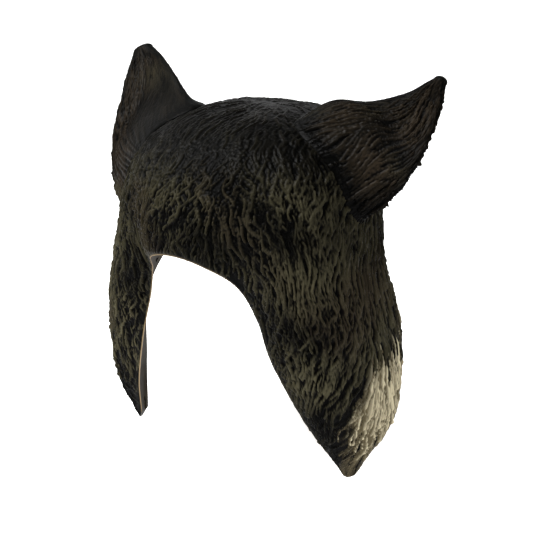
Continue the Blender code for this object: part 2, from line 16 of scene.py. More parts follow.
import bpy
import numpy as np
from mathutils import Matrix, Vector


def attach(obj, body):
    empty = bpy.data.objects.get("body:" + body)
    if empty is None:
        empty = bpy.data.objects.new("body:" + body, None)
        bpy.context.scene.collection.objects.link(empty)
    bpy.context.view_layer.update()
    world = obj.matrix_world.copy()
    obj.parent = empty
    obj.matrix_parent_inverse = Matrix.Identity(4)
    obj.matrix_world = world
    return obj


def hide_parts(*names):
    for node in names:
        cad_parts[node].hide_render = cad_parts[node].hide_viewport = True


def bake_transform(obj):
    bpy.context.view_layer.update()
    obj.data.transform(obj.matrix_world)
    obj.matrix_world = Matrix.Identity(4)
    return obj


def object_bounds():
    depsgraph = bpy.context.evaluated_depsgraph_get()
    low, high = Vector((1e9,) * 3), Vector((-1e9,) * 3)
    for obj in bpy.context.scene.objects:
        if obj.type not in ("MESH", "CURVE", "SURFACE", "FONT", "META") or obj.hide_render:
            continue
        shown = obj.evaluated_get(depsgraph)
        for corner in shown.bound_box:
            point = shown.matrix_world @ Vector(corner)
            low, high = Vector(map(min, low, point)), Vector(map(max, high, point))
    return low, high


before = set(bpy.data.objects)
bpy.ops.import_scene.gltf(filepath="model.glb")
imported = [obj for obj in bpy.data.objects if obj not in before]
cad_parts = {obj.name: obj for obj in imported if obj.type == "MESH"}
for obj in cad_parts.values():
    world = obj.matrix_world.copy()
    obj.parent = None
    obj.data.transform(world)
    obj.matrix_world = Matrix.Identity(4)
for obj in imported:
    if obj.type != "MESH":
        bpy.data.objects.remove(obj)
CAD_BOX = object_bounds()

LOG = logging.getLogger("hood")
MM = 0.001
RIPPLE_WAVES = 8
Array = np.ndarray
Colour = tuple[float, float, float]
Place = tuple[float, float, float]
Section = tuple[Place, Place, Place, Place]
EarSection = tuple[Place, Place, float, float, float]


class Side(Enum):
    """The wearer's left or right, with the sign of its x."""

    LEFT = 1
    RIGHT = -1

    @property
    def word(self) -> str:
        """The side's name as node names spell it."""
        return self.name.lower()


# ------------------------------------------------------------------ shader building
class Value:
    """A number from a node, which takes part in Python sums by adding Math nodes."""

    def __init__(self, graph: "Graph", socket: bpy.types.NodeSocket) -> None:
        """Wrap a socket of a graph."""
        self.graph = graph
        self.socket = socket

    def math(self, operation: str, first: Any, second: Any = 0.0) -> "Value":
        """Add one Math node and return its result."""
        node = self.graph.node("ShaderNodeMath", {"operation": operation}, {0: first, 1: second})
        return Value(self.graph, node.outputs[0])

    def __add__(self, other: Any) -> "Value":
        """self + other."""
        return self.math("ADD", self, other)

    __radd__ = __add__

    def __sub__(self, other: Any) -> "Value":
        """self - other."""
        return self.math("SUBTRACT", self, other)

    def __rsub__(self, other: Any) -> "Value":
        """other - self."""
        return self.math("SUBTRACT", other, self)

    def __mul__(self, other: Any) -> "Value":
        """self * other."""
        return self.math("MULTIPLY", self, other)

    __rmul__ = __mul__

    def ramp(self, low: float, high: float) -> "Value":
        """Rise smoothly from 0 at low to 1 at high."""
        node = self.graph.node("ShaderNodeMapRange", {"interpolation_type": "SMOOTHSTEP"},
                               {"Value": self, "From Min": low, "From Max": high})
        return Value(self.graph, node.outputs[0])


class Graph:
    """The node tree of one material, ending in a Principled shader."""

    def __init__(self, name: str) -> None:
        """Start a material that holds only its output and shader."""
        self.material = bpy.data.materials.new(name)
        self.material.use_nodes = True
        self.tree = self.material.node_tree
        self.shader = self.tree.nodes["Principled BSDF"]
        self.place = self.node("ShaderNodeTexCoord").outputs["Object"]

    def feed(self, socket: bpy.types.NodeSocket, given: Any) -> None:
        """Link or set one socket.

        Args:
            socket: the input.
            given: a Value, a socket, a number or a tuple.
        """
        if isinstance(given, Value):
            given = given.socket
        if isinstance(given, bpy.types.NodeSocket):
            self.tree.links.new(given, socket)
        elif isinstance(given, tuple) and len(given) == 3 and socket.type == "RGBA":
            socket.default_value = (*given, 1.0)
        else:
            socket.default_value = given

    def node(self, kind: str, settings: Optional[dict[str, Any]] = None,
             inputs: Optional[dict[Union[str, int], Any]] = None) -> bpy.types.Node:
        """Add a node.

        Args:
            kind: the node's type.
            settings: its properties, set first.
            inputs: values or links of its sockets.

        Returns:
            The node.
        """
        node = self.tree.nodes.new(kind)
        for key, value in (settings or {}).items():
            setattr(node, key, value)
        for key, given in (inputs or {}).items():
            self.feed(node.inputs[key], given)
        return node

    def noise(self, scale: float, detail: float = 3.0, roughness: float = 0.55,
              place: Any = None) -> Value:
        """Fractal noise from 0 to 1; scale is in cycles per metre.

        Args:
            scale: cycles per metre.
            detail: octaves.
            roughness: strength of each next octave.
            place: coordinates, when they aren't the object's own.

        Returns:
            The noise.
        """
        node = self.node("ShaderNodeTexNoise", {}, {"Vector": place or self.place, "Scale": scale,
                                                    "Detail": detail, "Roughness": roughness})
        return Value(self, node.outputs["Fac"])

    def mix(self, share: Any, first: Any, second: Any, blend: str = "MIX") -> bpy.types.NodeSocket:
        """Mix two colours.

        Args:
            share: how much of the second, from 0 to 1.
            first: the first colour.
            second: the second colour.
            blend: how they mix.

        Returns:
            The mixed colour.
        """
        node = self.node("ShaderNodeMix", {"data_type": "RGBA", "blend_type": blend})
        self.feed(node.inputs[0], share)
        self.feed(node.inputs[6], first)
        self.feed(node.inputs[7], second)
        return node.outputs[2]

    def attribute(self, name: str) -> bpy.types.Node:
        """Read one of the mesh's attributes."""
        return self.node("ShaderNodeAttribute", {"attribute_name": name})

    def bump(self, height: Value, distance: float, strength: float = 1.0) -> bpy.types.NodeSocket:
        """Turn a height from 0 to 1 into a normal; distance is in metres.

        Args:
            height: the height.
            distance: the height's full depth, in metres.
            strength: how much of it shows.

        Returns:
            The normal.
        """
        node = self.node("ShaderNodeBump", {}, {"Height": height, "Distance": distance,
                                                "Strength": strength})
        return node.outputs["Normal"]

    def finish(self, **inputs: Any) -> bpy.types.Material:
        """Feed the shader's sockets, named with underscores for spaces, and return the material."""
        for key, given in inputs.items():
            self.feed(self.shader.inputs[key.replace("_", " ").title().replace("Ior", "IOR")], given)
        return self.material


# ------------------------------------------------------------------ finishes
@dataclass(frozen=True)
class FurLatex:
    """Painted latex over sculpted fur: the paint attribute, worn to satin on the ridges.

    Scales are in cycles per metre.
    """

    name: str = "painted_fur_latex"
    ridge_roughness: float = 0.36
    groove_roughness: float = 0.46
    shine: float = 0.025
    mottle_scale: float = 160.0
    mottle_share: float = 0.56
    grain_scale: float = 900.0
    fine_grain_scale: float = 3200.0
    grain_depth: float = 0.00022
    dust_scale: float = 1600.0
    dust_share: float = 0.03
    dust: Colour = (0.10, 0.09, 0.06)

    def build(self) -> bpy.types.Material:
        """Build the material."""
        g = Graph(self.name)
        paint = g.attribute("paint").outputs["Color"]
        relief = Value(g, g.attribute("relief").outputs["Fac"])
        mottle = g.noise(self.mottle_scale, 4.0)
        speck = g.noise(self.dust_scale, 2.0)
        shade = (1 - self.mottle_share / 2) + mottle * self.mottle_share
        toned = g.mix(1.0, paint, g.node("ShaderNodeCombineColor", {}, {
            "Red": shade, "Green": shade, "Blue": shade}).outputs[0], "MULTIPLY")
        dusty = g.mix(speck.ramp(0.62, 0.80) * self.dust_share, toned, self.dust)
        rough = self.groove_roughness - relief.ramp(0.2, 0.9) * (
            self.groove_roughness - self.ridge_roughness) + (mottle - 0.5) * 0.22
        grain = g.noise(self.grain_scale, 4.0, 0.6) * 0.7 + g.noise(self.fine_grain_scale, 2.0) * 0.3
        return g.finish(base_color=dusty, roughness=rough, specular_ior_level=self.shine,
                        normal=g.bump(grain, self.grain_depth, 0.8))


@dataclass(frozen=True)
class BareLatex:
    """Unpainted latex, cream with amber mottling, pour marks and small bubbles.

    The hood's lining also has overspray, read from the paint attribute.
    """

    name: str = "bare_latex"
    oversprayed: bool = False
    cloud_scale: float = 38.0
    pour_scale: float = 14.0
    bubble_scale: float = 420.0
    bubble_depth: float = 0.0004
    pale: Colour = (0.66, 0.53, 0.35)
    amber: Colour = (0.45, 0.29, 0.13)
    stain: Colour = (0.06, 0.045, 0.03)

    def build(self) -> bpy.types.Material:
        """Build the material."""
        g = Graph(self.name)
        cloud = g.noise(self.cloud_scale, 5.0, 0.6)
        pours = g.noise(self.pour_scale, 3.0, 0.5)
        body = g.mix(cloud.ramp(0.35, 0.75), self.pale, self.amber)
        stained = g.mix(pours.ramp(0.60, 0.82) * 0.45, body, self.stain)
        if self.oversprayed:
            stained = g.mix(1.0, stained, g.attribute("paint").outputs["Color"], "MULTIPLY")
        bubbles = Value(g, g.node("ShaderNodeTexVoronoi", {}, {
            "Vector": g.place, "Scale": self.bubble_scale}).outputs["Distance"])
        height = g.noise(260.0, 4.0) * 0.8 + bubbles.ramp(0.0, 0.18) * 0.2
        return g.finish(base_color=stained, roughness=0.48 + (cloud - 0.5) * 0.2,
                        normal=g.bump(height, self.bubble_depth, 0.9))


@dataclass(frozen=True)
class BackingFoam:
    """Open-cell foam, yellowed, with painted shade in the cell mouths."""

    name: str = "backing_foam"
    cell_scale: float = 900.0
    cell_depth: float = 0.0006
    fresh: Colour = (0.70, 0.60, 0.40)
    aged: Colour = (0.52, 0.40, 0.22)
    painted_pore_shade: Colour = (0.20, 0.15, 0.09)

    def build(self) -> bpy.types.Material:
        """Build the material."""
        g = Graph(self.name)
        cells = Value(g, g.node("ShaderNodeTexVoronoi", {}, {
            "Vector": g.place, "Scale": self.cell_scale}).outputs["Distance"])
        tint = g.mix(g.noise(60.0, 3.0), self.fresh, self.aged)
        # Painted shade at the middle of each cell, standing for the dark inside the pores.
        shaded = g.mix(cells.ramp(0.1, 0.6), self.painted_pore_shade, tint)
        return g.finish(base_color=shaded, roughness=0.93, normal=g.bump(cells, self.cell_depth))


@dataclass(frozen=True)
class Webbing:
    """Knitted elastic: level ribs up the band's height, and picks across them all round the head."""

    name: str = "elastic_webbing"
    ribs_per_metre: float = 600.0
    picks_per_radian: float = 62.0
    knit_depth: float = 0.0005
    # The black yarn darkened between the ribs and picks: painted shade.
    painted_groove_shade: Colour = (0.002, 0.002, 0.002)
    yarn: Colour = (0.034, 0.034, 0.036)
    fluff: Colour = (0.12, 0.12, 0.12)

    def build(self) -> bpy.types.Material:
        """Build the material; the picks follow the angle round the head's upright axis."""
        g = Graph(self.name)
        parts = g.node("ShaderNodeSeparateXYZ", {}, {0: g.place})
        side, back, up = (Value(g, parts.outputs[k]) for k in range(3))
        around = side.math("ARCTAN2", side, back)

        def wave(source: Value, cycles: float) -> Value:
            """Sine of a coordinate, from 0 to 1."""
            turn = source * (cycles * 2 * math.pi)
            return turn.math("SINE", turn) * 0.5 + 0.5

        rib = wave(up, self.ribs_per_metre)
        pick = wave(around + rib * 0.004, self.picks_per_radian)
        knit = rib * 0.65 + pick * 0.35
        fibres = g.noise(2600.0, 2.0)
        # The knit's low parts take the groove colour: painted shade.
        base = g.mix(knit, self.painted_groove_shade, self.yarn)
        worn = g.mix(fibres.ramp(0.58, 0.8) * 0.25, base, self.fluff)
        return g.finish(base_color=worn, roughness=0.82, sheen_weight=0.25,
                        normal=g.bump(knit, self.knit_depth))


@dataclass(frozen=True)
class Nickel:
    """Nickel-plated steel with fine scuffs."""

    name: str = "nickel_steel"
    scuff_depth: float = 0.00005
    bright: Colour = (0.66, 0.65, 0.62)
    tarnished: Colour = (0.40, 0.36, 0.30)

    def build(self) -> bpy.types.Material:
        """Build the material."""
        g = Graph(self.name)
        scuff = g.noise(1400.0, 4.0, 0.7)
        dull = g.noise(220.0, 3.0)
        tint = g.mix(dull.ramp(0.45, 0.8), self.bright, self.tarnished)
        return g.finish(base_color=tint, metallic=1.0, roughness=0.22 + scuff * 0.22,
                        normal=g.bump(scuff, self.scuff_depth))


@dataclass(frozen=True)
class MouldedPlastic:
    """Black moulded plastic with a spark-eroded grain and paler worn spots."""

    name: str = "moulded_plastic"
    grain_depth: float = 0.00012
    black: Colour = (0.014, 0.014, 0.015)
    worn: Colour = (0.055, 0.055, 0.055)

    def build(self) -> bpy.types.Material:
        """Build the material."""
        g = Graph(self.name)
        grain = g.noise(2400.0, 3.0)
        wear = g.noise(300.0, 4.0, 0.7)
        tint = g.mix(wear.ramp(0.6, 0.85), self.black, self.worn)
        return g.finish(base_color=tint, roughness=0.42 + grain * 0.2,
                        normal=g.bump(grain, self.grain_depth))


@dataclass(frozen=True)
class StudioPaper:
    """Plain white paper with a little light of its own, so that it stays white."""

    name: str = "studio_paper"
    white: float = 0.93
    glow: float = 0.70

    def build(self) -> bpy.types.Material:
        """Build the material."""
        g = Graph(self.name)
        tint = g.mix(g.noise(3.0, 2.0) * 0.3, (self.white,) * 3, (self.white * 0.985,) * 3)
        return g.finish(base_color=tint, roughness=0.9, emission_color=(1.0, 1.0, 1.0),
                        emission_strength=self.glow)


# ------------------------------------------------------------------ surface maths
def through(knots: Array, t: Array) -> Array:
    """Catmull-Rom curve through knots; t runs from 0 to 1 and the end knots are mirrored outwards.

    Args:
        knots: places, numbers or whole sections, along the first axis.
        t: where on the curve, from 0 at the first knot to 1 at the last.

    Returns:
        The curve's values, in the shape of t with that of one knot after it.
    """
    knots = np.asarray(knots, float)
    count = len(knots) - 1
    padded = np.concatenate([[2 * knots[0] - knots[1]], knots, [2 * knots[-1] - knots[-2]]])
    place = np.clip(np.asarray(t, float) * count, 0, count - 1e-9)
    first = place.astype(int)
    f = (place - first).reshape(place.shape + (1,) * (knots.ndim - 1))
    a, b, c, d = (padded[first + k] for k in range(4))
    return 0.5 * (2 * b + (c - a) * f + (2 * a - 5 * b + 4 * c - d) * f**2
                  + (3 * b - a - 3 * c + d) * f**3)


def smooth(low: float, high: float, x: Array) -> Array:
    """Rise from 0 at low to 1 at high as 3t^2 - 2t^3."""
    t = np.clip((np.asarray(x, float) - low) / (high - low), 0, 1)
    return t * t * (3 - 2 * t)


def unit(vectors: Array) -> Array:
    """Vectors of length 1."""
    return vectors / np.maximum(np.linalg.norm(vectors, axis=-1, keepdims=True), 1e-12)


def ripple(points: Array, wavelength: float, seed: int) -> Array:
    """Smooth noise, mostly from -1 to 1: the sum of eight sine waves in random directions.

    Args:
        points: places, in metres.
        wavelength: the mean wavelength, in metres.
        seed: picks the directions and phases.

    Returns:
        One number for each place.
    """
    draw = np.random.default_rng(seed)
    total = np.zeros(points.shape[:-1])
    for _ in range(RIPPLE_WAVES):
        direction = unit(draw.normal(size=3)) * draw.uniform(0.7, 1.5)
        total += np.sin(points @ direction * (2 * math.pi / wavelength) + draw.uniform(0, 2 * math.pi))
    return total / (0.4 * RIPPLE_WAVES)


def blur(grid: Array, wrap: bool) -> Array:
    """Soften a grid with the weights 1, 2, 1 along its columns and then along its rows.

    Args:
        grid: numbers, rows by columns.
        wrap: whether the last column meets the first.

    Returns:
        The softened grid.
    """
    padded = np.pad(grid, ((1, 1), (0, 0)), mode="edge")
    grid = (padded[:-2] + 2 * padded[1:-1] + padded[2:]) / 4
    padded = np.pad(grid, ((0, 0), (1, 1)), mode="wrap" if wrap else "edge")
    return (padded[:, :-2] + 2 * padded[:, 1:-1] + padded[:, 2:]) / 4


# ------------------------------------------------------------------ fur
@dataclass
class Strands:
    """How one field of sculpted strands looks; lengths are in metres, angles in radians.

    Each strand bends sideways by up to wave, in swings of one wavelength. taper_share and rise_share
    are the shares of its length over which it widens and rises, and it drops from drop_share on.
    """

    count: int
    length: tuple[float, float]
    half_width: tuple[float, float]
    wave: float
    wavelength: float
    seed: int
    samples: int = 46
    across: int = 9
    lift_spread: float = 0.22
    phase_swing: float = 2.4
    phase_spread: float = 0.35
    phase_patch: float = 0.045
    wave_patch: float = 0.06
    taper_share: float = 0.16
    rise_share: float = 0.12
    drop_share: float = 0.86
    root_height: float = 0.46
    tip_gain: float = 0.50

    def outline(self, share: Array) -> Array:
        """Width along a strand, as a share of its widest: a quick rise and a pointed tip."""
        return np.minimum(1, share / self.taper_share)**0.7 * np.clip(1 - share**3.2, 0, 1)**0.5

    def profile(self, share: Array) -> Array:
        """Height along a strand: up from the root, on towards the tip, and down at its end."""
        return ((self.root_height + self.tip_gain * share) * np.minimum(1, share / self.rise_share)
                * smooth(1.0, self.drop_share, share))


@dataclass
class ReliefGrid:
    """A base surface sampled on a fine grid, and the fur raised on it.

    points holds the surface, rows by columns. wrap says that the last column meets the first. floor
    is the height between strands, and meeting is how far the line where two strands meet is sunk.
    """

    points: Array
    wrap: bool = False
    floor: float = 0.20
    meeting: float = 0.42
    along: Array = field(init=False)
    across: Array = field(init=False)
    normal: Array = field(init=False)
    height: Array = field(init=False)
    owner: Array = field(init=False)

    def __post_init__(self) -> None:
        """Work out tangents and outward normals by central differences along rows and columns."""
        self.along = np.gradient(self.points, axis=0)
        if self.wrap:
            self.across = (np.roll(self.points, -1, 1) - np.roll(self.points, 1, 1)) / 2
        else:
            self.across = np.gradient(self.points, axis=1)
        self.normal = unit(np.cross(self.along, self.across))
        self.height = np.zeros(self.points.shape[:2])
        self.owner = np.full(self.points.shape[:2], -1)

    @staticmethod
    def edges(owner: Array) -> Array:
        """1 where the next cell along a row or column belongs to another strand, and 0 elsewhere.

        Args:
            owner: the strand that each grid point belongs to.

        Returns:
            A grid of 0 and 1.
        """
        edge = np.zeros(owner.shape)
        edge[:-1] = owner[:-1] != owner[1:]
        edge[:, :-1] = np.maximum(edge[:, :-1], owner[:, :-1] != owner[:, 1:])
        return edge

    def steps(self, direction: Array) -> Array:
        """Row and column steps for one metre along a tangent direction.

        The direction d is split as a * along + b * across, with the 2 by 2 metric inverted.

        Args:
            direction: tangent vectors, one for each grid point.

        Returns:
            The two steps for each grid point.
        """
        ee = (self.along**2).sum(-1)
        ff = (self.along * self.across).sum(-1)
        gg = (self.across**2).sum(-1)
        da = (direction * self.along).sum(-1)
        db = (direction * self.across).sum(-1)
        det = np.maximum(ee * gg - ff**2, 1e-18)
        return np.stack([(da * gg - db * ff) / det, (db * ee - da * ff) / det], -1)

    def grow(self, flow: Array, spec: Strands) -> dict[str, Array]:
        """Trace strands along a flow field and raise each as a ridge that overlaps the next.

        Strands start with even density over the surface. A path follows the flow, turned by a sine
        wave whose phase varies slowly over the surface. Across, a ridge is a cosine hump, and along
        it follows Strands.profile. Each grid point keeps the highest ridge that covers it.

        Args:
            flow: direction at each grid point, which is made tangent here.
            spec: the strands' look.

        Returns:
            The start row and column of each strand and its random tone.
        """
        draw = np.random.default_rng(spec.seed)
        rows, columns = self.height.shape
        tangent = unit(flow - (flow * self.normal).sum(-1, keepdims=True) * self.normal)
        forward = self.steps(tangent)
        sideways = self.steps(np.cross(self.normal, tangent))
        area = np.linalg.norm(np.cross(self.along, self.across), axis=-1)
        chance = np.cumsum(area.ravel())
        picked = np.searchsorted(chance, (np.arange(spec.count) + draw.random(spec.count))
                                 / spec.count * chance[-1])
        picked = np.minimum(picked, rows * columns - 1)
        draw.shuffle(picked)
        place = np.stack([picked // columns, picked % columns], -1).astype(float)
        start = place.astype(int)
        base_points = self.points[start[:, 0], start[:, 1]]
        length = draw.uniform(*spec.length, spec.count)
        half = draw.uniform(*spec.half_width, spec.count)
        lift = draw.uniform(-spec.lift_spread, spec.lift_spread, spec.count)
        phase = spec.phase_swing * ripple(base_points, spec.phase_patch, spec.seed + 7)
        phase += draw.normal(0, spec.phase_spread, spec.count)
        swing = spec.wave * (0.65 + 0.5 * ripple(base_points, spec.wave_patch, spec.seed + 9))
        share = np.linspace(0, 1, spec.samples)
        offsets = np.linspace(-1, 1, spec.across)
        taper = spec.outline(share)
        rise = spec.profile(share)
        cells, heights, owners = [], [], []
        names = np.arange(spec.count)
        for k, s in enumerate(share):
            i = np.clip(place[:, 0].round().astype(int), 0, rows - 1)
            j = place[:, 1].round().astype(int)
            j = j % columns if self.wrap else np.clip(j, 0, columns - 1)
            turn = swing * np.sin(2 * math.pi * s * length / spec.wavelength + phase)
            c, z = np.cos(turn)[:, None], np.sin(turn)[:, None]
            step = forward[i, j] * c + sideways[i, j] * z
            side = sideways[i, j] * c - forward[i, j] * z
            for offset in offsets:
                spot = place + side * (offset * half * taper[k])[:, None]
                a = spot[:, 0].round().astype(int)
                b = spot[:, 1].round().astype(int)
                if self.wrap:
                    b %= columns
                inside = (a >= 0) & (a < rows) & (b >= 0) & (b < columns)
                ridge = math.cos(offset * math.pi / 2)**0.75 * (rise[k] + lift * min(1.0, s / 0.1))
                cells.append((a * columns + b)[inside])
                heights.append(ridge[inside])
                owners.append(names[inside])
            place += step * (length / spec.samples)[:, None]
        cell, level, owner = (np.concatenate(x) for x in (cells, heights, owners))
        order = np.argsort(level, kind="stable")
        height = self.height.ravel()
        owned = self.owner.ravel()
        higher = level[order] > height[cell[order]]
        order = order[higher]
        height[cell[order]] = level[order]
        owned[cell[order]] = owner[order]
        self.height = np.maximum(height, self.floor).reshape(rows, columns)
        self.height -= self.meeting * self.edges(owned.reshape(rows, columns))
        self.owner = owned.reshape(rows, columns)
        return {"rows": start[:, 0], "columns": start[:, 1], "tone": draw.normal(0, 1, spec.count)}


# ------------------------------------------------------------------ meshes
@dataclass
class MeshMaker:
    """Writes numpy arrays into a mesh object."""

    name: str

    def build(self, points: Array, faces: Sequence[Sequence[int]], materials: Sequence[Any],
              slots: Optional[Array] = None, paint: Optional[Array] = None,
              relief: Optional[Array] = None, sharp_from: Optional[int] = None) -> bpy.types.Object:
        """Make the object.

        Args:
            points: places in metres.
            faces: index lists, anticlockwise from outside.
            materials: the object's materials.
            slots: a material number for each face.
            paint: a colour for each point.
            relief: a height from 0 to 1 for each point.
            sharp_from: faces from this number on meet the earlier ones at a sharp edge.

        Returns:
            The linked object.
        """
        mesh = bpy.data.meshes.new(self.name)
        sizes = np.array([len(face) for face in faces])
        corners = np.concatenate([np.asarray(face) for face in faces])
        starts = np.concatenate([[0], np.cumsum(sizes)[:-1]])
        mesh.vertices.add(len(points))
        mesh.vertices.foreach_set("co", np.asarray(points, np.float32).ravel())
        mesh.loops.add(int(sizes.sum()))
        mesh.loops.foreach_set("vertex_index", corners.astype(np.int32))
        mesh.polygons.add(len(sizes))
        mesh.polygons.foreach_set("loop_start", starts.astype(np.int32))
        mesh.polygons.foreach_set("loop_total", sizes.astype(np.int32))
        for material in materials:
            mesh.materials.append(material)
        if slots is not None:
            mesh.polygons.foreach_set("material_index", slots.astype(np.int32))
        mesh.update(calc_edges=True)
        mesh.validate()
        mesh.shade_smooth()
        if paint is not None:
            layer = mesh.attributes.new("paint", "FLOAT_COLOR", "POINT")
            layer.data.foreach_set("color", np.column_stack([paint, np.ones(len(paint))]).astype(
                np.float32).ravel())
        if relief is not None:
            layer = mesh.attributes.new("relief", "FLOAT", "POINT")
            layer.data.foreach_set("value", relief.astype(np.float32))
        if sharp_from is not None:
            self._sharpen(mesh, sharp_from)
        thing = bpy.data.objects.new(self.name, mesh)
        bpy.context.scene.collection.objects.link(thing)
        LOG.info("%s: %d points", self.name, len(mesh.vertices))
        return thing

    @staticmethod
    def _sharpen(mesh: bpy.types.Mesh, first: int) -> None:
        """Mark sharp the edges where faces before first meet faces from first on.

        Args:
            mesh: the mesh.
            first: number of the first face of the second group.
        """
        totals = np.empty(len(mesh.polygons), np.int32)
        mesh.polygons.foreach_get("loop_total", totals)
        edges = np.empty(len(mesh.loops), np.int32)
        mesh.loops.foreach_get("edge_index", edges)
        face = np.repeat(np.arange(len(totals)), totals)
        early = np.zeros(len(mesh.edges), bool)
        late = np.zeros(len(mesh.edges), bool)
        early[edges[face < first]] = True
        late[edges[face >= first]] = True
        layer = mesh.attributes.new("sharp_edge", "BOOLEAN", "EDGE")
        layer.data.foreach_set("value", early & late)


def quads(rows: int, columns: int, wrap: bool = False) -> Array:
    """Faces of a grid numbered row by row, whose normals point along rows x columns.

    Args:
        rows: number of rows.
        columns: number of columns.
        wrap: whether the last column meets the first.

    Returns:
        Four point numbers for each face.
    """
    r = np.arange(rows - 1)[:, None]
    c = np.arange(columns if wrap else columns - 1)[None, :]
    n = (c + 1) % columns
    return np.stack([r * columns + c, (r + 1) * columns + c, (r + 1) * columns + n, r * columns + n],
                    -1).reshape(-1, 4)


# ------------------------------------------------------------------ paint
@dataclass(frozen=True)
class Palette:
    """Paints of the hood, as linear colours."""

    # Black paint in the grooves between strands, darkened further as painted shade; the ears and the
    # webbing use the same name.
    painted_groove_shade: Colour = (0.0004, 0.0004, 0.0003)
    black: Colour = (0.0020, 0.0018, 0.0013)
    olive: Colour = (0.030, 0.0270, 0.0155)
    brown: Colour = (0.017, 0.0125, 0.0078)
    cream: Colour = (0.46, 0.41, 0.28)
    # A darker cream: real tone on strands of low tone, and painted shade in the cream patch's grooves.
    dark_cream_and_groove_shade: Colour = (0.11, 0.090, 0.052)
    amber: Colour = (0.26, 0.19, 0.11)


PALETTE = Palette()


def lay(under: Array, over: Union[Colour, Array], cover: Array) -> Array:
    """Lay one paint over another with a cover from 0 to 1."""
    return under + (np.asarray(over) - under) * cover[..., None]


# ------------------------------------------------------------------ hood skin
@dataclass
class HoodSurface:
    """The hood's outer surface, point(q, v), from the same stations as the frame's skin.

    A station holds the face-opening edge, a brow control, a back control and the rear edge of one
    section. q runs over the stations from the right tip (-1) to the left tip (1) as a Catmull-Rom
    curve, and v runs along the section as a cubic Bezier curve.
    """

    left: tuple[Section, ...] = (
        ((0, -84, -77), (0, -96, 16), (0, 62, 30), (0, 88, -36)),
        ((20, -80, -81), (36, -94, 14), (42, 57, 27), (34, 80, -41)),
        ((33, -65, -94), (72, -94, -10), (87, 42, 2), (57, 49, -53)),
        ((42, -57, -114), (94, -90, -66), (97, 20, -57), (69, 32, -87)),
        ((52, -54, -142), (104, -74, -122), (105, 4, -124), (88, 31, -128)),
        ((68, -41, -180), (102, -62, -178), (106, -4, -180), (95, 18, -182)),
        ((83, -24, -211), (87, -30, -217), (92, -16, -216), (88, -11, -211)))
    right: tuple[Section, ...] = (
        ((-20, -80, -81), (-36, -94, 14), (-42, 57, 27), (-34, 80, -41)),
        ((-33, -65, -94), (-70, -94, -10), (-86, 42, 2), (-58, 50, -52)),
        ((-42, -57, -114), (-84, -90, -66), (-96, 16, -58), (-79, 26, -82)),
        ((-52, -54, -142), (-92, -74, -122), (-104, -14, -120), (-97, 2, -126)),
        ((-68, -42, -180), (-90, -58, -178), (-105, -20, -178), (-99, -2, -180)),
        ((-83, -24, -211), (-85, -30, -217), (-91, -18, -216), (-88, -13, -211)))

    def point(self, q: Array, v: Array) -> Array:
        """Places on the surface, in metres.

        Args:
            q: from the right tip to the left tip.
            v: from the face opening to the rear edge.

        Returns:
            One place for each pair.
        """
        q, v = np.broadcast_arrays(np.asarray(q, float), np.asarray(v, float))
        table = np.concatenate([np.array(self.right, float)[::-1], np.array(self.left, float)]) * MM
        section = through(table, (q + 1) / 2)
        weights = np.stack([(1 - v)**3, 3 * v * (1 - v)**2, 3 * v * v * (1 - v), v**3], -1)
        return (section * weights[..., None]).sum(-2)

    def normal(self, q: Array, v: Array) -> Array:
        """Outward unit normals.

        Args:
            q: from the right tip to the left tip.
            v: from the face opening to the rear edge.

        Returns:
            One normal for each pair, from central differences of point.
        """
        h = 1e-3
        along = self.point(np.clip(q + h, -1, 1), v) - self.point(np.clip(q - h, -1, 1), v)
        across = self.point(q, np.clip(v + h, 0, 1)) - self.point(q, np.clip(v - h, 0, 1))
        return unit(np.cross(along, across))


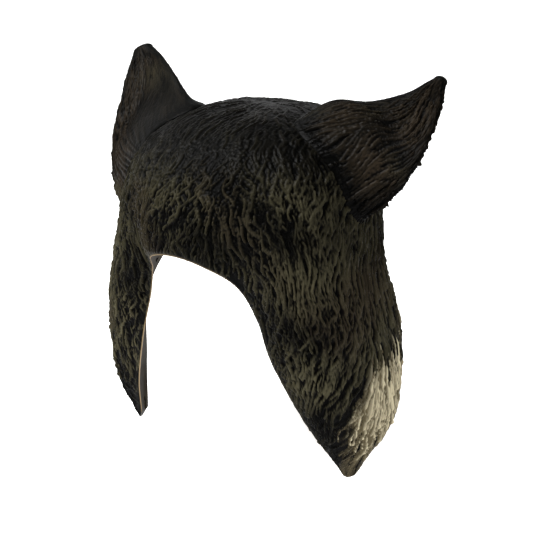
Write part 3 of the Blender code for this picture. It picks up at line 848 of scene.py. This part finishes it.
@dataclass
class HoodSkin:
    """The furred skin, grown as one relief and cut into pieces, of which the crown and sides ride on the
    hood.

    Depths and margins are in metres. The whorl, the lean, the crown and the patch are in millimetres.
    """

    surface: HoodSurface = field(default_factory=HoodSurface)
    rows: int = 801
    columns: int = 401
    coarse: int = 4
    cuts: tuple[float, ...] = (-1.0, -0.46, -0.15, 0.15, 0.46, 1.0)
    wall: float = 0.0026
    wall_waver: float = 0.0004
    edge_share: float = 0.45
    edge_taper: float = 0.010
    edge_roll: float = 0.0007
    relief_depth: float = 0.0030
    relief_zero: float = 0.45
    relief_low: float = 0.06
    relief_at_edge: float = 0.12
    front_margin: tuple[float, float] = (0.0010, 0.0065)
    rear_margin: tuple[float, float] = (0.0005, 0.003)
    crown: tuple[float, float] = (-40.0, -8.0)
    crown_flattening: float = 0.55
    ear_bed: float = 0.0010
    whorl_y: float = 5.0
    whorl_z: float = 8.0
    sideways: float = 0.55
    downward: float = 1.15
    lean: float = 14.0
    lean_from: tuple[float, float] = (-60.0, -150.0)
    swirl: float = 0.42
    spray_margin: tuple[float, float] = (0.007, 0.034)
    spray_dark: float = 0.03
    patch_way: tuple[float, float] = (0.788, 0.616)
    patch_depths: tuple[float, ...] = (122, 130, 146, 157, 169, 179, 189, 199, 209, 216)
    patch_edges: tuple[float, ...] = (86, 68, 66, 59, 57, 61, 58, 54, 49, 47)
    patch_shift: dict[Side, float] = field(default_factory=lambda: {Side.RIGHT: 14.0, Side.LEFT: 1.0})
    grid: ReliefGrid = field(init=False)
    strands: dict[str, Array] = field(init=False)
    height: Array = field(init=False)
    fade: Array = field(init=False)
    front_gap: Array = field(init=False)
    to_edge: Array = field(init=False)

    def flow(self, points: Array) -> Array:
        """Which way the fur lies: away from a whorl on the crown, then down the sides.

        The direction is (sideways * x, y - whorl_y, downward * (z - whorl_z)). On the cheeks its first
        two numbers die away, and it leans to the front.

        Args:
            points: places on the surface, in metres.

        Returns:
            A unit vector for each place.
        """
        x, y, z = (points[..., k] / MM for k in range(3))
        lean = smooth(*self.lean_from, z)
        return unit(np.stack([self.sideways * x * (1 - lean),
                              (y - self.whorl_y) * (1 - 0.9 * lean) - self.lean * lean,
                              self.downward * (z - self.whorl_z)], -1))

    def grow(self) -> None:
        """Trace the fur over the whole skin, and fade its relief at the edges and on the crown."""
        q = np.linspace(-1, 1, self.rows)[:, None]
        v = np.linspace(0, 1, self.columns)[None, :]
        self.grid = ReliefGrid(self.surface.point(q, v))
        flow = self.flow(self.grid.points)
        turn = self.swirl * ripple(self.grid.points, 0.085, seed=3)
        side = np.cross(self.grid.normal, flow)
        flow = flow * np.cos(turn)[..., None] + side * np.sin(turn)[..., None]
        spec = Strands(count=4600, length=(0.020, 0.040), half_width=(0.0011, 0.0018), wave=0.70,
                       wavelength=0.023, seed=11)
        self.strands = self.grid.grow(flow, spec)
        gap = np.linalg.norm(self.grid.points - self.grid.points[:, :1], axis=-1)
        rear = np.linalg.norm(self.grid.points - self.grid.points[:, -1:], axis=-1)
        self.to_edge = np.minimum(gap, rear)
        inside = smooth(*self.front_margin, gap) * smooth(*self.rear_margin, rear)
        fade = self.relief_at_edge + (1 - self.relief_at_edge) * inside
        crown = smooth(*self.crown, self.grid.points[..., 2] / MM)
        self.fade = fade * (1 - self.crown_flattening * crown)
        self.height = blur(self.grid.height, False)
        self.front_gap = gap

    def under_ears(self) -> Array:
        """Say where the skin lies under an ear's root, and so is sunk and smooth.

        Each root is an ellipse in q and v, as in Ear.ellipse, and the cover is a step on its radius.

        Returns:
            1 inside a root and 0 outside it, for each grid point.
        """
        q = np.linspace(-1, 1, self.rows)[:, None]
        v = np.linspace(0, 1, self.columns)[None, :]
        under = np.zeros((self.rows, self.columns))
        for ear in EARS:
            (q_in, v_in), (q_out, v_out) = ear.root
            length = -(q * ear.side.value - (q_in + q_out) / 2) * 2 / (q_out - q_in)
            cross = ((v_in + v_out) / 2 - v - length * (v_out - v_in) / 2) / ear.root_depth
            under = np.maximum(under, smooth(0.98, 0.84, np.hypot(length, cross)))
        return under

    def colours(self) -> Array:
        """Paint at every grid point: grooves darkened past the black paint as painted shade, olive or
        brown ridges and a cream cheek patch.

        Returns:
            A linear colour for each grid point.
        """
        points = self.grid.points
        x, _, z = (points[..., k] / MM for k in range(3))
        owner = np.clip(self.grid.owner, 0, None)
        tone = self.strands["tone"][owner]
        root = points[self.strands["rows"], self.strands["columns"]][owner] / MM
        ridge = lay(np.broadcast_to(PALETTE.black, points.shape), PALETTE.olive,
                    np.clip(0.66 + 0.34 * ripple(points, 0.050, seed=21) + 0.22 * tone, 0, 1))
        ridge = lay(ridge, PALETTE.brown, smooth(0.1, 0.9, ripple(points, 0.07, seed=22)) * 0.5)
        right_cheek = smooth(-40, -62, x) * smooth(-70, -100, z) * smooth(-190, -160, z)
        left_cheek = smooth(55, 80, x) * smooth(-60, -85, z)
        ridge = ridge * (1 + 1.3 * right_cheek + 0.5 * left_cheek)[..., None]
        crown = smooth(-46, -14, z) * 0.95
        left_jaw = smooth(-176, -206, z) * smooth(46, 60, x) * 0.8
        ridge = lay(ridge, PALETTE.black, np.clip(np.maximum(crown, left_jaw) + 0.1 * tone, 0, 1))

        cream = self.patch(root, tone)
        ridge = lay(ridge, lay(np.broadcast_to(PALETTE.cream, points.shape), PALETTE.dark_cream_and_groove_shade,
                               np.clip(0.25 - 0.25 * tone, 0, 1)), cream)
        # In the cream patch the grooves take the darker cream: painted shade.
        painted_groove_shade = lay(np.broadcast_to(PALETTE.painted_groove_shade, points.shape), PALETTE.dark_cream_and_groove_shade, cream * 0.75)
        # Grooves between strands take the groove colour, darker than the black paint: painted shade.
        paint = lay(painted_groove_shade, ridge, smooth(0.22, 0.66, self.height))
        bare = smooth(0.0009, 0.0002, self.front_gap) * 0.9
        return lay(paint, PALETTE.amber, bare)

    def patch(self, root: Array, tone: Array) -> Array:
        """Cover of the cream paint on the cheeks, from 0 to 1.

        A strand is cream when its root, measured outwards and back along patch_way, lies beyond the
        patch's edge at its depth. Its tone moves the edge a little, so that single strands cross it.

        Args:
            root: where each grid point's strand starts, in millimetres.
            tone: the random tone of each grid point's strand.

        Returns:
            The cover at each grid point.
        """
        out, back = self.patch_way
        reach = np.abs(root[..., 0]) * out + root[..., 1] * back
        edge = np.interp(-root[..., 2], self.patch_depths, self.patch_edges)
        edge += np.where(root[..., 0] < 0, self.patch_shift[Side.RIGHT], self.patch_shift[Side.LEFT])
        return smooth(-2.0, 4.0, reach - edge + 2.2 * tone)

    def build(self, fur: bpy.types.Material, bare: bpy.types.Material) -> None:
        """Grow, paint, cut and place every piece.

        The outer skin stands off the surface by (height - relief_zero) * relief_depth, and the lining
        lies inside it by a wall that wavers, and thins towards the edges.

        Args:
            fur: material of the outside.
            bare: material of the lining and rims.
        """
        self.grow()
        paint = self.colours()
        height = np.maximum(self.height, self.relief_low) - self.relief_zero
        roll = self.edge_roll * smooth(0.0022, 0.0, self.to_edge)
        under = self.under_ears()
        lift = (height * self.relief_depth * self.fade - roll) * (1 - under) - self.ear_bed * under
        outer = self.grid.points + self.grid.normal * lift[..., None]
        wall = self.wall - self.wall_waver * (ripple(self.grid.points, 0.030, seed=31) + 1)
        thinned = smooth(0.0, self.edge_taper, self.to_edge)
        wall = wall * (self.edge_share + (1 - self.edge_share) * thinned)
        inner = self.grid.points - self.grid.normal * wall[..., None]
        names = ("skin_flap_right", "skin_side_right", "skin_crown", "skin_side_left", "skin_flap_left")
        for name, low, high in zip(names, self.cuts[:-1], self.cuts[1:]):
            span = slice(self.row(low), self.row(high) + 1)
            piece = self.panel(name, outer[span], inner[span], paint[span], self.height[span], fur, bare)
            self.place(piece, name)

    def row(self, q: float) -> int:
        """Grid row nearest to the parameter q, on a multiple of the coarse step."""
        return int(round((q + 1) / 2 * (self.rows - 1) / self.coarse)) * self.coarse

    def panel(self, name: str, outer: Array, inner: Array, paint: Array, height: Array,
              fur: bpy.types.Material, bare: bpy.types.Material) -> bpy.types.Object:
        """Close one piece: a fine outer grid, a coarse lining and rims that join them.

        Args:
            name: the piece's name.
            outer: the outer skin's grid.
            inner: the inner skin's grid, of which every coarse row and column is kept.
            paint: the outer skin's colours. The lining's overspray darkens its two edges.
            height: the fur's height on the outer skin.
            fur: material of the outer skin.
            bare: material of the lining and rims.

        Returns:
            The piece.
        """
        step = self.coarse
        rows, columns = outer.shape[:2]
        lining = inner[::step, ::step]
        low_rows, low_columns = lining.shape[:2]
        first = rows * columns
        faces = [*quads(rows, columns), *(quads(low_rows, low_columns)[:, ::-1] + first)]
        fine = len(faces) - (low_rows - 1) * (low_columns - 1)

        def rim(fine_line: Array, coarse_line: Array) -> None:
            """Join a fine edge to a coarse one with one face for each coarse span."""
            for k in range(len(coarse_line) - 1):
                run = fine_line[k * step:(k + 1) * step + 1]
                faces.append(np.concatenate([run, [coarse_line[k + 1], coarse_line[k]]]))

        index = np.arange(first).reshape(rows, columns)
        low = np.arange(low_rows * low_columns).reshape(low_rows, low_columns) + first
        rim(index[:, 0][::-1], low[:, 0][::-1])
        rim(index[:, -1], low[:, -1])
        rim(index[0], low[0])
        rim(index[-1][::-1], low[-1][::-1])
        slots = np.zeros(len(faces), int)
        slots[fine:] = 1
        points = np.concatenate([outer.reshape(-1, 3), lining.reshape(-1, 3)])
        inside = np.minimum(np.linalg.norm(lining - lining[:, :1], axis=-1),
                            np.linalg.norm(lining - lining[:, -1:], axis=-1))
        clean = smooth(*self.spray_margin, inside).reshape(-1, 1) * np.ones(3)
        colour = np.concatenate([paint.reshape(-1, 3), self.spray_dark + (1 - self.spray_dark) * clean])
        relief = np.concatenate([height.ravel(), np.full(lining.size // 3, 0.5)])
        return MeshMaker(name).build(points, faces, (fur, bare), slots, colour, relief, fine)

    def place(self, piece: bpy.types.Object, name: str) -> None:
        """Ride a piece on the hood; a flap stays where it is, and the frame's cheek is hidden.

        Args:
            piece: the piece.
            name: its name, which says whether it is a flap, and of which side.
        """
        if "flap" in name:
            side = Side.LEFT if name.endswith("left") else Side.RIGHT
            cheek = "cheek_" + side.word
            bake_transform(piece)
            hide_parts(cheek)
            return
        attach(piece, "hood")
        if name == "skin_crown":
            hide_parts("hood_skin")


# ------------------------------------------------------------------ ears
@dataclass
class Ear:
    """One ear: a dished, furred leaf lofted from an ellipse on the skin to a blunt tip.

    root holds the inner and outer ends, as q and v, of the ellipse. A station holds the inner and
    outer ends of one section as shares of the reach, how far its middle is arched outwards and dished
    back, and half its thickness, in millimetres. The skirt's two ellipses are a scale and a lift each,
    and knots are the shares of the ear's height at which the loops lie.
    """

    side: Side
    root: tuple[tuple[float, float], tuple[float, float]]
    stations: tuple[EarSection, ...]
    reach: float
    surface: HoodSurface = field(default_factory=HoodSurface)
    root_depth: float = 0.085
    levels: int = 190
    segments: int = 400
    relief_depth: float = 0.0030
    relief_zero: float = 0.22
    ragged_depth: float = 0.0022
    tip_height: float = 0.0034
    skirt: tuple[tuple[float, float], ...] = ((1.07, -0.0012), (1.00, 0.0022))
    knots: tuple[float, ...] = (0.0, 0.05, 0.34, 0.60, 0.83, 1.0)
    centre: Array = field(init=False)
    away: Array = field(init=False)
    front: Array = field(init=False)

    def ellipse(self, angle: Array, scale: float, lift: float) -> Array:
        """An ellipse drawn on the skin round the root, lifted off it.

        Args:
            angle: 0 at the inner end and pi at the outer end.
            scale: size, with 1 for the root's own ellipse.
            lift: distance off the skin, in metres.

        Returns:
            One place for each angle.
        """
        (q_in, v_in), (q_out, v_out) = self.root
        lengthwise = np.cos(angle) * scale
        q = (q_in + q_out) / 2 - lengthwise * (q_out - q_in) / 2
        v = (v_in + v_out) / 2 - lengthwise * (v_out - v_in) / 2 - np.sin(angle) * scale * self.root_depth
        q = q * self.side.value
        return self.surface.point(q, v) + self.surface.normal(q, v) * lift

    def loops(self) -> Array:
        """Closed loops from a skirt under the skin, over the root, to the last station.

        The loop of a station runs out along its front and back along its rear: half its thickness
        times the sine of the angle, on both sides of a quadratic Bezier curve from its inner end to
        its outer end.

        Returns:
            The loops, each of one place for each segment.
        """
        angle = np.linspace(0, 2 * math.pi, self.segments, endpoint=False)
        centre = self.ellipse(np.zeros(1), 0.0, 0.0)[0]
        self.away = unit(self.ellipse(np.zeros(1), 0.0, 0.001)[0] - centre)
        self.centre = centre
        out = np.array([self.side.value, 1.0, 1.0]) * self.reach
        ends = self.ellipse(np.array([0.0, math.pi]), 1.0, 0.0)
        tip = centre + np.array(self.stations[-1][0]) * out
        self.front = unit(np.cross(ends[1] - ends[0], tip - ends[0]) * self.side.value)
        across = ((1 - np.cos(angle)) / 2)[:, None]
        rings = [self.ellipse(angle, scale, lift) for scale, lift in self.skirt]
        for inner, outer, arch, dish, half in self.stations:
            a, b = centre + np.array(inner) * out, centre + np.array(outer) * out
            hollow = (a + b) / 2 + self.away * 2 * arch * MM - self.front * 2 * dish * MM
            middle = (1 - across)**2 * a + 2 * across * (1 - across) * hollow + across**2 * b
            rings.append(middle + self.front * np.sin(angle)[:, None] * half * MM)
        return np.array(rings)

    def build(self, fur: bpy.types.Material) -> None:
        """Loft, grow, paint and place the ear.

        Args:
            fur: its material.
        """
        rings = self.loops()
        share = np.linspace(0, 1, self.levels)
        loft = through(rings, np.interp(share, self.knots, np.linspace(0, 1, len(self.knots))))
        grid = ReliefGrid(loft, wrap=True)
        if ((grid.points.mean(1, keepdims=True) - grid.points) * grid.normal).sum(-1).mean() > 0:
            grid.normal = -grid.normal
        rise = np.gradient(loft, axis=0)
        turn = 0.30 * ripple(loft, 0.045, seed=41 + self.side.value)
        flow = unit(rise) + np.cross(grid.normal, unit(rise)) * turn[..., None]
        spec = Strands(count=1500, length=(0.018, 0.036), half_width=(0.0010, 0.0019), wave=0.36,
                       wavelength=0.030, seed=51 + self.side.value)
        strands = grid.grow(flow, spec)
        angle = np.linspace(0, 2 * math.pi, self.segments, endpoint=False)[None, :]
        height_share = share[:, None]
        depth = self.fur_depth(angle, height_share)
        height = blur(grid.height, True)
        end_fade = smooth(0.0, 0.08, height_share) * (1 - 0.6 * smooth(0.93, 1.0, height_share))
        lift = (np.maximum(height, 0.0) - self.relief_zero) * self.relief_depth * depth * end_fade
        outward = unit(loft - loft.mean(1, keepdims=True))
        rim = smooth(0.86, 1.0, -np.cos(angle)) * smooth(0.10, 0.25, height_share)
        ragged = rim * (height - 0.4) * self.ragged_depth
        points = loft + grid.normal * lift[..., None] + outward * ragged[..., None]
        paint = self.colours(points, height, grid, strands, angle, height_share)
        self.close(points, paint, height * depth, fur)

    def fur_depth(self, angle: Array, height: Array) -> Array:
        """How deep the fur is cut: shallow along the inner rim and in the right ear's hollow.

        Args:
            angle: round each loop, in radians.
            height: share of the ear's height.

        Returns:
            A share of the relief's full depth, for each grid point.
        """
        inner_rim = smooth(0.55, 1.0, np.cos(angle))
        depth = 1 - 0.75 * inner_rim * np.ones_like(height)
        if self.side is Side.RIGHT:
            hollow = smooth(0.0, 0.6, np.sin(angle)) * smooth(-0.5, 0.3, np.cos(angle))
            depth = depth * (1 - 0.75 * hollow) * 0.7
        return depth

    def colours(self, points: Array, height: Array, grid: ReliefGrid, strands: dict[str, Array],
                angle: Array, share: Array) -> Array:
        """Paint: warm brown-black fur; a black inner rim, part black paint and part painted shade; painted
        shade at the root and in the right ear's hollow; painted shade in the grooves.

        Args:
            points: places on the ear, in metres.
            height: the fur's height.
            grid: the relief, which knows each point's strand.
            strands: the strands' tones.
            angle: round each loop, in radians.
            share: share of the ear's height.

        Returns:
            A linear colour for each point.
        """
        tone = strands["tone"][np.clip(grid.owner, 0, None)]
        ridge = lay(np.broadcast_to(PALETTE.black, points.shape), PALETTE.brown,
                    np.clip(0.62 + 0.3 * ripple(points, 0.04, seed=61) + 0.15 * tone, 0, 1))
        ridge = lay(ridge, PALETTE.olive, smooth(0.2, 1.0, ripple(points, 0.05, seed=63)) * 0.5)
        # Black along the inner rim, part black paint and part painted shade under the rim; painted shade
        # at the root, where the ear meets the hood.
        black_paint_and_shade = np.maximum(smooth(0.55, 1.0, np.cos(angle)) * 0.85, smooth(0.22, 0.04, share) * 0.8)
        # Painted shade fills the right ear's hollow; the left ear gets none.
        if self.side is Side.RIGHT:
            hollow = smooth(0.0, 0.5, np.sin(angle)) * smooth(-0.6, 0.2, np.cos(angle))
            black_paint_and_shade = np.maximum(black_paint_and_shade, hollow * smooth(0.95, 0.5, share) * 0.9)
        ridge = lay(ridge, PALETTE.black, np.clip(black_paint_and_shade, 0, 1))
        return lay(np.broadcast_to(PALETTE.painted_groove_shade, points.shape), ridge, smooth(0.16, 0.72, height))

    def close(self, points: Array, paint: Array, relief: Array, fur: bpy.types.Material) -> None:
        """Cap the tip with a dome and the root with a flat fan, and hide the frame's ear parts.

        Args:
            points: the ear's places, loop by loop.
            paint: their colours.
            relief: their heights of fur.
            fur: the ear's material.
        """
        columns = points.shape[1]
        middle = points[-1].mean(0)
        up = unit((points[-1] - points[-2]).mean(0))
        dome = [middle + (points[-1] - middle) * math.cos(t) + up * self.tip_height * math.sin(t)
                for t in np.linspace(0.25, 1.35, 5)]
        body = np.concatenate([points, np.array(dome)])
        total = len(body) * columns
        faces = [*quads(len(body), columns, wrap=True)]
        top, root = total, total + 1
        last = total - columns
        faces += [(last + c, top, last + (c + 1) % columns) for c in range(columns)]
        faces += [(c, (c + 1) % columns, root) for c in range(columns)]
        ends = np.array([middle + up * (self.tip_height + 0.0001), points[0].mean(0) - self.away * 0.001])
        flat = np.concatenate([body.reshape(-1, 3), ends])
        added = len(dome) * columns + len(ends)
        colour = np.concatenate([paint.reshape(-1, 3), np.tile(PALETTE.black, (added, 1))])
        level = np.concatenate([relief.ravel(), np.full(added, 0.6)])
        name = "ear_" + self.side.word
        ear = MeshMaker("fur_" + name).build(flat, faces, (fur,), None, colour, level)
        self.face_out(ear)
        self.centre - self.away * 0.002
        self.centre + self.away * 0.012
        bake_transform(ear)
        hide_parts("ear_shell_" + self.side.word, "ear_root_" + self.side.word)

    @staticmethod
    def face_out(thing: bpy.types.Object) -> None:
        """Turn a closed mesh's faces outwards.

        Args:
            thing: the mesh object. Its signed volume is negative when its faces point inwards.
        """
        mesh = thing.data
        corners = np.empty(len(mesh.vertices) * 3, np.float32)
        mesh.vertices.foreach_get("co", corners)
        places = corners.reshape(-1, 3)
        mesh.calc_loop_triangles()
        triangles = np.empty(len(mesh.loop_triangles) * 3, np.int32)
        mesh.loop_triangles.foreach_get("vertices", triangles)
        a, b, c = places[triangles.reshape(-1, 3)].transpose(1, 0, 2)
        if (a * np.cross(b, c)).sum() < 0:
            mesh.flip_normals()


EARS = (
    Ear(Side.LEFT, ((0.185, 0.525), (0.462, 0.620)),
        (((-0.23, 0.14, 0.38), (0.47, 0.06, -0.28), 11.0, 5.0, 8.5),
         ((0.03, 0.28, 0.38), (0.60, 0.12, -0.05), 4.0, 6.0, 6.5),
         ((0.28, 0.42, 0.45), (0.62, 0.37, 0.27), 0.0, 4.0, 5.2),
         ((0.50, 0.50, 0.58), (0.61, 0.50, 0.54), 0.0, 1.0, 4.2)), 0.074),
    Ear(Side.RIGHT, ((0.185, 0.520), (0.530, 0.565)),
        (((-0.24, 0.13, 0.40), (0.44, -0.02, -0.38), 13.0, 6.0, 8.5),
         ((0.01, 0.25, 0.54), (0.52, 0.04, -0.05), 5.0, 8.0, 6.5),
         ((0.26, 0.38, 0.65), (0.59, 0.26, 0.38), 0.0, 5.0, 5.2),
         ((0.45, 0.46, 0.72), (0.61, 0.42, 0.64), 0.0, 1.0, 4.2)), 0.079),
)


# ------------------------------------------------------------------ strap hardware
@dataclass
class Hardware:
    """The strap's small pieces, which keep their frame shapes and get their finishes."""

    finishes: dict[str, bpy.types.Material]

    def dress(self) -> None:
        """Give each carried-over node its material."""
        for node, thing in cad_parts.items():
            for stem, material in self.finishes.items():
                if node.startswith(stem):
                    thing.data.materials.clear()
                    thing.data.materials.append(material)
                    LOG.info("%s dressed in %s", node, material.name)


# ------------------------------------------------------------------ studio
@dataclass
class Studio:
    """Floor, lights and camera, in metres and degrees.

    Along the view, measured from the hood, the floor runs from floor_near to floor_far. It then bends
    up round a quarter circle into a wall. A lamp holds a name, a place, a size and a power in watts.
    """

    floor_drop: float = 0.004
    floor_near: float = -0.7
    floor_far: float = 1.6
    bend_radius: float = 1.0
    wall_height: float = 3.5
    half_span: float = 3.5
    lamps: tuple[tuple[str, Place, float, float], ...] = (
        ("key", (-0.55, -0.75, 1.25), 0.4, 62.0),
        ("fill", (1.5, -0.5, 0.7), 0.4, 12.0),
        ("top", (-0.1, -0.5, 1.6), 1.0, 3.0))
    surround: float = 0.12
    azimuth: float = 38.0
    elevation: float = 15.0
    distance: float = 0.95
    aim: tuple[float, float, float] = (0.0, 0.020, -0.110)
    lens_mm: float = 95.629
    sensor_mm: float = 36.0
    shift: float = -0.00727

    def build(self, paper: bpy.types.Material) -> None:
        """Build all of it."""
        self.sweep(paper)
        self.lights()
        self.camera()

    def sweep(self, paper: bpy.types.Material) -> None:
        """A flat floor that curves up into a backdrop: one profile of run and rise, drawn out sideways."""
        floor = CAD_BOX[0][2] - self.floor_drop
        back = np.array([-math.sin(math.radians(self.azimuth)), math.cos(math.radians(self.azimuth))])
        side = np.array([back[1], -back[0]])
        bend = np.linspace(0, math.pi / 2, 12)
        radius = self.bend_radius
        run = np.concatenate([np.linspace(self.floor_near, self.floor_far, 12),
                              self.floor_far + radius * np.sin(bend),
                              np.full(6, self.floor_far + radius)])
        rise = np.concatenate([np.zeros(12), radius * (1 - np.cos(bend)),
                               np.linspace(1.1 * radius, self.wall_height, 6)])
        wide = np.linspace(-self.half_span, self.half_span, 9)
        points = np.array([[*(back * r + side * w), floor + z] for r, z in zip(run, rise) for w in wide])
        faces = quads(len(run), len(wide))[:, ::-1]
        sheet = MeshMaker("studio_sweep").build(points, faces, (paper,))

    def lights(self) -> None:
        """A soft key from the upper left, a fill from the right, a weak top lamp and a dim surround."""
        world = bpy.data.worlds.new("surround")
        world.use_nodes = True
        background = world.node_tree.nodes["Background"]
        background.inputs["Color"].default_value = (1.0, 1.0, 1.0, 1.0)
        background.inputs["Strength"].default_value = self.surround
        bpy.context.scene.world = world
        for name, place, size, power in self.lamps:
            lamp = bpy.data.lights.new(name, "AREA")
            lamp.size = size
            lamp.energy = power
            thing = bpy.data.objects.new(name, lamp)
            thing.location = place
            aim = Vector(self.aim) - Vector(place)
            thing.rotation_euler = aim.to_track_quat("-Z", "Y").to_euler()
            bpy.context.scene.collection.objects.link(thing)

    def camera(self) -> None:
        """A long lens above and to the wearer's left of the hood's front, looking at aim."""
        turn, tilt = math.radians(self.azimuth), math.radians(self.elevation)
        back = Vector((math.sin(turn) * math.cos(tilt), -math.cos(turn) * math.cos(tilt), math.sin(tilt)))
        lens = bpy.data.cameras.new("camera")
        lens.sensor_width = self.sensor_mm
        lens.lens = self.lens_mm
        lens.shift_x = self.shift
        thing = bpy.data.objects.new("camera", lens)
        thing.location = Vector(self.aim) + back * self.distance
        thing.rotation_euler = (-back).to_track_quat("-Z", "Y").to_euler()
        bpy.context.scene.collection.objects.link(thing)
        bpy.context.scene.camera = thing


def main() -> None:
    """Build the finishes, then each sub-assembly in order."""
    logging.basicConfig(level=logging.INFO, format="%(name)s: %(message)s")
    bpy.context.scene.view_settings.view_transform = "Standard"
    fur = FurLatex().build()
    bare = BareLatex().build()
    lining = BareLatex(name="lining_latex", oversprayed=True).build()
    Studio().build(StudioPaper().build())
    HoodSkin().build(fur, lining)
    for ear in EARS:
        ear.build(fur)
    nickel = Nickel().build()
    Hardware({"ear_core": BackingFoam().build(), "strap_band": Webbing().build(), "strap_tab": bare,
              "tab_rivet": nickel, "strap_ring": nickel,
              "strap_slider": MouldedPlastic().build()}).dress()


if __name__ == "__main__":
    main()
